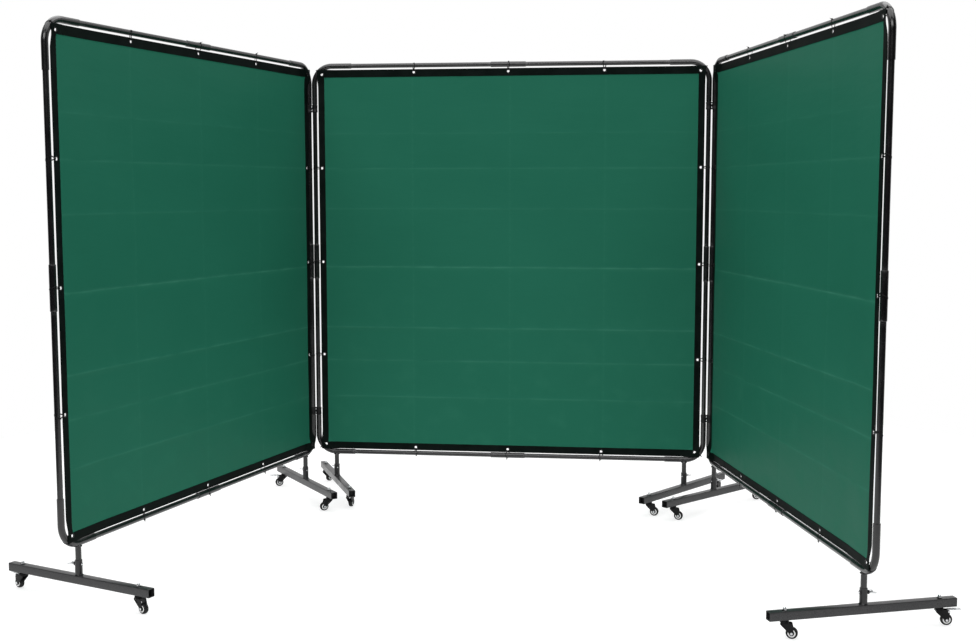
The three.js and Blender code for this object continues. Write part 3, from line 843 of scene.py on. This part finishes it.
def tie(tube_point, tube_way, radius, hole_point, lean, head_at, tail):
    """A cable tie as a flat strap carried round a loop: from the eyelet's rim straight to the
    tube, round it, and straight back. The strands lean apart along the tube by lean."""
    across = unit(tube_way)
    reach = hole_point - tube_point
    reach = reach - reach @ across * across
    out = unit(reach)
    side = np.cross(across, out)
    if side[1] > 0:
        side = -side
    distance = np.linalg.norm(reach)
    r = radius + 0.4
    touch = math.acos(min(0.98, r / distance))
    turn = np.linspace(touch, 2 * math.pi - touch, 22)
    wrap = r * (np.cos(turn)[:, None] * out + np.sin(turn)[:, None] * side)
    slide = lean * np.cos(np.linspace(0, math.pi, 22))
    wrap = tube_point + wrap + slide[:, None] * across
    front, back = hole_point + side * 2.6, hole_point - side * 2.6
    share = np.linspace(0, 1, 5)[1:, None]
    up = front + (wrap[0] - front) * share[:-1]
    down = wrap[-1] + (back - wrap[-1]) * share
    line = np.vstack([[hole_point], [front], up, wrap, down])
    strap = np.array([[-2.1, -0.35], [2.1, -0.35], [2.1, 0.35], [-2.1, 0.35]])
    made = [carried(strap, line, across, ring=True)]
    at = int(head_at * 21)
    ray = unit(wrap[at] - slide[at] * across - tube_point)
    along = np.cross(across, ray)
    box = slab(rounded_box(2.3, 2.6, 0.8, 4), 0.2, 3.6, 0.5)
    base = np.array([across, along, ray])
    made.append(outward(wrap[at] + box[0] @ base, box[1]))
    ends = wrap[at] + ray * 1.6 + (along * 0.6 + ray) * np.array([0, 0.4, 0.75, 1.0])[:, None] * tail
    made.append(carried(strap * (0.9, 1), ends, across))
    return made


def tie_spots(panel):
    """For each eyelet: its middle, the way to its tube, the nearest point on the tube's axis,
    and the tube's direction and radius."""
    for cx, cz in SPOTS:
        at_side, at_end = abs(cx) > NEAR_TUBE, abs(cz - HALF) > NEAR_TUBE
        sx, top = math.copysign(1, cx), cz > HALF
        y = float(depth(np.array(cx), np.array(cz), panel))
        sz = 1 if top else -1
        level = SIDE if top else 0.0
        if at_side and at_end:
            inset = BEND_RADIUS * (1 - math.sqrt(0.5))
            base = np.array([sx * (HALF - inset), 0, level - sz * inset])
            way, radius = np.array([-sz * sx, 0, 1.0]), SLEEVE / 2
        elif at_side:
            base, way = np.array([sx * HALF, 0, cz]), np.array([0, 0, 1.0])
            radius = (SLEEVE if abs(cz - HALF) < MIDDLE_SLEEVE / 2 else TUBE) / 2
        else:
            base, way = np.array([cx, 0, level]), np.array([1.0, 0, 0])
            radius = (SLEEVE if abs(cx) < MIDDLE_SLEEVE / 2 else TUBE) / 2
        hole = np.array([cx, y, cz])
        if at_side and at_end:
            pull = np.array([sx, 0, sz]) / math.sqrt(2)
        else:
            pull = unit((base - hole) * (1, 0, 1))
        yield hole, pull, base, way, radius


print("an eyelet has", len(eyelet()[1]), "faces")

# %% Build the curtains
rng = np.random.default_rng(7)
for panel, place in PANELS.items():
    points, faces, face_finish, flat = curtain_shell(panel)
    body = f"{panel}_panel"
    creases = fold_lines(flat[:, 0], flat[:, 1])
    handled = ramp((SHEET_LOW + 900 - flat[:, 1]) / 700) * 0.8 + 0.2
    weld = np.exp(-np.abs(from_edge(flat[:, 0], flat[:, 1]) - 26) / 2)
    film = make(
        f"{panel}_curtain_sheet", put(place, (points, faces)), [GREEN_VINYL, BLACK_HEM], body,
        [f"{panel}_curtain"], {"crease": creases, "handled": handled, "weld": weld},
        face_finish,
    )
    layer = film.data.uv_layers.new(name="cloth")
    corner_points = np.empty(len(film.data.loops), np.int32)
    film.data.loops.foreach_get("vertex_index", corner_points)
    layer.data.foreach_set("uv", (flat[corner_points] * MM).astype(np.float32).ravel())
    rings, ties = [], []
    ring = eyelet()
    for hole, pull, base, way, radius in tie_spots(panel):
        rings.append(shifted(ring, *hole))
        lean, head, tail = rng.uniform(6, 10), rng.uniform(0.14, 0.22), rng.uniform(4.0, 8.0)
        if hole[0] * HINGE_SIDE[panel] > NEAR_TUBE:
            head = 1 - head
        elif abs(hole[0]) < NEAR_TUBE:
            head *= 2
        ties += tie(base, way, radius, hole + pull * 4.2, lean * rng.choice([-1, 1]), head, tail)
    eyelets = make(f"{panel}_eyelets", put(place, *rings), EYELET_METAL, body)
    make(f"{panel}_ties", put(place, *ties), BLACK_NYLON, body)
    print(panel, "curtain:", len(faces), "faces,", len(SPOTS), "eyelets")

# %% [markdown]
# ## The feet
# A foot is a length of square tube with a round socket welded on top. The frame's leg
# stands in the socket, held by a wing bolt at the back and a set screw in front. A caster
# stem goes up through each end and is held by a cap nut over a washer.

# %% Foot parts
FOOT_HALF = 338.0
STEM_X = FOOT_HALF - 58
TUBE_TOP = 30.0
BOLT_Z = TUBE_TOP + 40


def squares(stops):
    """Rounded squares across the foot's tube: (half width, corner radius, x) for each."""
    rows = []
    for half, radius, x in stops:
        ring = rounded_box(half, half, radius, 5)
        rows.append(np.column_stack([np.full(len(ring), x), ring[:, 0], ring[:, 1] + TUBE_TOP / 2]))
    return np.vstack(rows)


def square_tube():
    """Two rounded squares, the outer and the inner wall, joined round both ends."""
    e = FOOT_HALF
    stops = [(15, 2.4, 0.5 - e), (15, 2.4, e - 0.5), (14.6, 2.1, e), (13.8, 1.3, e), (13.4, 1.0, e - 0.5)]
    stops += [(13.4, 1.0, 0.5 - e), (13.8, 1.3, -e), (14.6, 2.1, -e)]
    return outward(squares(stops), grid_faces(len(stops), 20, round_rows=True).tolist())


def end_plug(side):
    """A dished plug inside the tube's end: the outline at four depths, drawn in at the dish."""
    stops = [(13.2, -30.0), (13.2, -14.6), (12.6, -14.0), (10.2, -14.0), (9.6, -17.0)]
    points = squares([(half, 1.0, x + FOOT_HALF) for half, x in stops]) * (side, side, 1)
    faces = grid_faces(len(stops), 20).tolist()
    faces += [list(range(20))[::-1], list(range(80, 100))]
    return outward(points, faces)


def socket():
    """The socket's wall as a closed profile turned round the leg, and its weld on the tube."""
    wall = [(10.9, 32.0), (10.9, 84.4), (11.5, 85.0), (12.4, 85.0), (13.0, 84.4), (13.0, 32.0)]
    weld_profile = [(12.0, 29.8), (14.9, 29.8), (14.8, 31.0), (14.2, 32.2), (13.5, 33.2)]
    weld_profile += [(12.9, 34.2), (12.0, 34.2)]
    weld = turned(weld_profile, 72, ring=True, ripple=bead(13.2, 0.35, 21, 34, 0.7))
    return [turned(wall, 36, ring=True), weld]


def weld_nut(sign, length):
    """A hexagon welded to the socket's side, lying along X."""
    end = 12.6 + length
    profile = [(6.2, 12.2), (7.5, 12.8), (7.5, end - 0.7), (6.7, end), (4.4, end)]
    nut = swapped(turned(profile, 6), ALONG_X)
    return shifted((nut[0] * (sign, sign, 1), nut[1]), z=BOLT_Z)


def cap_nut(x):
    """Hexagon with eased corners, a dome, and a flat washer under it."""
    hexagon = turned([(5.6, 31.4), (6.5, 31.9), (6.5, 36.6), (5.9, 37.3), (5.0, 37.3)], 6)
    angle = np.radians(np.linspace(0, 82, 8))
    dome_profile = np.column_stack([5.4 * np.cos(angle), 37.0 + 4.6 * np.sin(angle)])
    return [shifted(hexagon, x=x), shifted(turned(dome_profile, 24), x=x)]


def washer(x):
    return shifted(turned([(8.6, 30.02), (9.0, 30.3), (9.0, 31.1), (8.7, 31.5), (7.0, 31.5)], 28), x=x)


def wing_bolt():
    """Threaded shank, a hub that swells towards the head, and two rounded wings, along -X."""
    start, end = 19.4, 31.0
    turns = np.linspace(0, 9, 37)
    shank = [(4.0 - 0.35 * abs((t % 1) * 2 - 1), 10.9 + t) for t in turns]
    hub = [(4.6, start), (5.6, start + 0.8), (5.2, start + 5), (5.8, end - 1.4), (5.0, end)]
    hub.append((2.0, end + 0.4))
    shells = [swapped(turned(shank, 20), ALONG_X), swapped(turned(hub, 24), ALONG_X)]
    tip = arc((35.0, 12.6), 4.4, 120, -60, 9)
    root = [(start + 1.2, 0.5), (start + 1.6, 4.6), (start + 6, 8.5)]
    outline = np.vstack([root, tip, [(33.0, 4.0), (end, 0.5)]])
    wing = slab(outline, -1.7, 1.7, 0.7)
    shells += [wing, (wing[0] * (1, -1, -1), wing[1])]
    return [(points * (-1, -1, 1), faces) for points, faces in shells]


print("a foot is", round(2 * FOOT_HALF), "mm long")

# %% Build the feet
for foot, place in FOOT_PLACES.items():
    body = f"{foot}_foot"
    steel = [square_tube()] + socket() + [weld_nut(-1, 6.0), weld_nut(1, 2.2)]
    count = sum(len(s[0]) for s in steel)
    x = np.concatenate([s[0][:, 0] for s in steel])
    wear = {"wear": np.exp(-(FOOT_HALF - np.abs(x)) / 2.5)}
    make(f"{foot}_foot_steel", put(place, *steel), SATIN_BLACK, body, [body], wear)
    make(f"{foot}_foot_plugs", put(place, end_plug(1), end_plug(-1)), BLACK_NYLON, body)
    nuts = cap_nut(STEM_X) + cap_nut(-STEM_X)
    screw = turned([(2.6, 12.0), (3.0, 14.0), (3.0, 16.2), (2.5, 16.9), (1.4, 16.9)], 20)
    nuts.append(shifted(swapped(screw, ALONG_X), z=BOLT_Z))
    make(f"{foot}_cap_nuts", put(place, *nuts), ZINC, body)
    make(f"{foot}_washers", put(place, washer(STEM_X), washer(-STEM_X)), CASTER_BLACK, body)
    bolt_place = Place(spot(f"{foot}_wing_bolt_turn"), place.axes[0])
    bolt = f"{foot}_wing_bolt"
    make(f"{bolt}_steel", put(bolt_place, *wing_bolt()), ZINC, bolt, [bolt])
print(len(FEET), "feet made")

# %% [markdown]
# ## The casters
# A pressed fork hangs from a ball race under the tube, and its wheel trails behind. The
# wheel has a rounded rubber tyre on a dark hub with a bright ring. The rear casters have a
# brake: a plated foot lever on a pin through the fork's ears, whose shoe meets the tyre.

# %% Caster parts
AXLE_X, AXLE_Z = 24.0, -42.0
PIN_X, PIN_Z = 30.0, -13.0


def race():
    """The swivel head: two cups with a groove between them, and a skirt."""
    profile = [(7.0, -1.0), (12.4, -1.0), (13.6, -2.0), (14.3, -3.9), (13.2, -4.5), (13.2, -5.0)]
    profile += [(15.0, -5.6), (15.0, -7.4), (14.2, -8.6), (11.0, -9.4)]
    return turned(profile, 36)


def cheek_outline(braked):
    """The fork's side: from the crown back over the pin's ear and down to the axle."""
    top = -9.2
    rear = arc((PIN_X, PIN_Z), 4.2, 90, -40, 8) if braked else np.array([[20.0, top], [24.5, top - 1.6]])
    lower = arc((AXLE_X, AXLE_Z), 7.5, 18, -180, 16)
    front = [(-10.5, top - 7.5), (-12.4, top - 5.0), (-12.4, top)]
    return np.vstack([rear, lower, front])


def fork(braked):
    crown = slab(rounded_box(13.0, 12.5, 4.0), -12.0, -9.0, 0.6)
    crown = shifted(crown, x=0.8)
    side = slab(cheek_outline(braked), 10.0, 12.5, 0.5)
    far = swapped(side, UPRIGHT)
    stiffener = []
    for way in (-1, 1):
        line = np.array([[-9.0, way * 12.6, -14.5], [2.0, way * 12.6, -20.0], [14.0, way * 12.6, -30.5]])
        stiffener.append(carried(circle(1.1, 8), line, (0, 1, 0)))
    return [race(), crown, mirrored(far), far] + stiffener


def on_axle(profile, sides, ring=True):
    """A profile turned round the wheel's axle: (radius, distance along the axle)."""
    return shifted(swapped(turned(profile, sides, ring), ALONG_Y), AXLE_X, 0, AXLE_Z)


def axle():
    """Bolt head and cap on the axle, bright, one on each side of the fork."""
    side = [(3.0, 9.6), (3.0, 12.4), (3.9, 12.5), (4.3, 12.9), (4.3, 14.2), (3.8, 14.8)]
    side += [(2.4, 15.0), (1.2, 15.3)]
    bolt = on_axle(side, 24, ring=False)
    return [bolt, mirrored(bolt)]


def tyre():
    """A closed profile turned round the axle: a crowned tread with rounded shoulders."""
    crown = [(19.62, 0.0), (19.55, 2.5), (19.2, 4.8), (18.2, 6.8), (16.4, 8.2), (14.2, 8.9)]
    crown += [(12.6, 9.0), (12.0, 8.4)]
    seat = [(11.6, 6.0), (11.6, -6.0)]
    return on_axle([(r, -y) for r, y in crown[::-1]] + crown[1:] + seat, 40)


def hub():
    """Dark web, dished on both sides, with a boss at the axle."""
    half = [(11.9, 0.0), (11.9, 5.0), (9.2, 5.4), (8.4, 4.0), (5.8, 4.0), (5.2, 8.8), (4.6, 9.4), (3.3, 9.4)]
    return on_axle([(r, -y) for r, y in half[::-1]] + half[1:], 32)


def hub_rings():
    """A bright ring on each side, between the tyre and the web."""
    ring = [(8.3, 5.2), (8.6, 8.6), (9.4, 9.3), (12.2, 9.4), (12.9, 8.9), (11.9, 5.2)]
    one = on_axle(ring, 36)
    return [one, mirrored(one)]


def pedal_outline():
    """From the barrel, a waist, then a wide toe pad with rounded corners."""
    side = [(27.2, 9.2), (36.0, 9.2), (41.0, 10.8)]
    toe = arc((66.0, 7.0), 4.0, 90, 0, 6)
    edge = np.vstack([side, toe])
    return np.vstack([edge, (edge * (1, -1))[::-1]])


def pedal():
    """Foot lever: a pressed plate that rises at the toe, ribs, the barrel, its pin and the shoe."""
    plate = slab(pedal_outline(), -8.0, -6.2, 0.35)
    lift = np.clip((plate[0][:, 0] - 52) / 18, 0, 1) ** 2 * 2.2
    plate = (plate[0] + np.column_stack([0 * lift, 0 * lift, lift]), plate[1])
    barrel = swapped(turned([(2.0, -9.4), (3.0, -9.2), (3.0, 9.2), (2.0, 9.4)], 20), ALONG_Y)
    head = [(1.4, -13.4), (2.9, -13.2), (2.9, -12.6), (1.9, -12.5)]
    pin = swapped(turned(head + [(r, -y) for r, y in head[::-1]], 16), ALONG_Y)
    web = slab(rounded_box(2.0, 9.0, 0.6, 3), -13.0, -7.6, 0.3)
    shoe = slab(rounded_box(1.9, 7.4, 0.8, 3), -22.2, -12.0, 0.5)
    shells = [plate, shifted(barrel, PIN_X, 0, PIN_Z), shifted(pin, PIN_X, 0, PIN_Z)]
    shells += [shifted(web, x=PIN_X), shifted(shoe, x=PIN_X + 2.9)]
    for y in (-6.0, 0.0, 6.0):
        line = np.array([[40.0, y, -6.1], [46.0, y, -5.7], [56.0, y, -5.6], [61.0, y, -5.6]])
        shells.append(carried(circle(0.8, 8), line, (0, 1, 0)))
    return shells


print("a braked fork has", len(fork(True)), "shells, and its pedal", len(pedal()))

# %% Build the casters
for (foot, end), place in CASTER_PLACES.items():
    name = f"{foot}_{end}"
    fork_body, wheel_body = f"{name}_fork", f"{name}_wheel"
    braked = end == "rear"
    steel = put(place, *fork(braked))
    make(f"{fork_body}_steel", steel, CASTER_BLACK, fork_body, [fork_body])
    make(f"{name}_axle", put(place, *axle()), ZINC, fork_body)
    make(f"{name}_tyre", put(place, tyre()), TYRE_RUBBER, wheel_body, [wheel_body])
    make(f"{name}_hub", put(place, hub()), CASTER_BLACK, wheel_body)
    make(f"{name}_hub_rings", put(place, *hub_rings()), HUB_SILVER, wheel_body)
    if braked:
        lever = f"{foot}_brake_pedal"
        make(f"{lever}_steel", put(place, *pedal()), ZINC, lever, [f"{name}_brake_pedal"])
print(len(CASTER_PLACES), "casters made")

# %% [markdown]
# ## Floor and light
# A pale round floor runs out into a white surround. Black tube shows mostly what it
# mirrors, so the space in front stays dark, and broad boxes hang overhead and high in
# front. They light the vinyl evenly and draw a soft streak along the upper rails.

# %% Floor
FLOOR_RADIUS, FLOOR_SIDES = 3.6, 96
floor_mesh = bpy.data.meshes.new("floor")
rim = np.column_stack([circle(FLOOR_RADIUS, FLOOR_SIDES), np.zeros(FLOOR_SIDES)])
floor_mesh.from_pydata(rim.tolist(), [], [list(range(FLOOR_SIDES))])
floor = bpy.data.objects.new("floor", floor_mesh)
bpy.context.scene.collection.objects.link(floor)
floor_finish = Finish("pale_floor", **{"Emission Strength": 0.72})
tone = floor_finish.noise(0.7, 2)
pale = floor_finish.mixed(tone, (0.93, 0.93, 0.93, 1), (0.95, 0.95, 0.95, 1))
floor_finish.set(Base_Color=floor_finish.mixed(0.5, pale, (0, 0, 0, 1)), Emission_Color=pale, Roughness=0.9)
floor_mesh.materials.append(floor_finish.material)
print("floor radius", FLOOR_RADIUS)


# %% Lights
def soft_box(name, at, aim, width, height, power):
    light = bpy.data.lights.new(name, "AREA")
    light.shape, light.size, light.size_y, light.energy = "RECTANGLE", width, height, power
    lamp = bpy.data.objects.new(name, light)
    bpy.context.scene.collection.objects.link(lamp)
    lamp.location = at
    way = unit(np.array(at, float) - np.array(aim, float))
    lamp.rotation_euler = (math.acos(way[2]), 0, math.atan2(way[1], way[0]) + math.pi / 2)
    return lamp


soft_box("overhead", (0, -0.3, 5.2), (0, 0, 0), 8, 6, 400)
soft_box("front_high", (-0.5, -7.5, 5.4), (0, 0, 1.0), 7, 2.5, 290)
print("lights:", ", ".join(light.name for light in bpy.data.lights))

# %% Surround
world = bpy.data.worlds.new("surround")
bpy.context.scene.world = world
world.use_nodes = True
nodes, links = world.node_tree.nodes, world.node_tree.links
seen, mirrored = nodes["Background"], nodes.new("ShaderNodeBackground")
seen.inputs["Color"].default_value = (1, 1, 1, 1)
direction, parts = nodes.new("ShaderNodeTexCoord"), nodes.new("ShaderNodeSeparateXYZ")
behind = nodes.new("ShaderNodeMapRange")
behind.inputs["From Min"].default_value = -0.1
behind.inputs["From Max"].default_value = 0.45
behind.inputs["To Min"].default_value = 0.02
links.new(direction.outputs["Generated"], parts.inputs[0])
links.new(parts.outputs["Y"], behind.inputs["Value"])
links.new(behind.outputs[0], mirrored.inputs["Strength"])
path, either = nodes.new("ShaderNodeLightPath"), nodes.new("ShaderNodeMixShader")
links.new(path.outputs["Is Camera Ray"], either.inputs[0])
links.new(mirrored.outputs[0], either.inputs[1])
links.new(seen.outputs[0], either.inputs[2])
links.new(either.outputs[0], nodes["World Output"].inputs[0])
bpy.context.scene.view_settings.view_transform = "Standard"
print("surround ready")
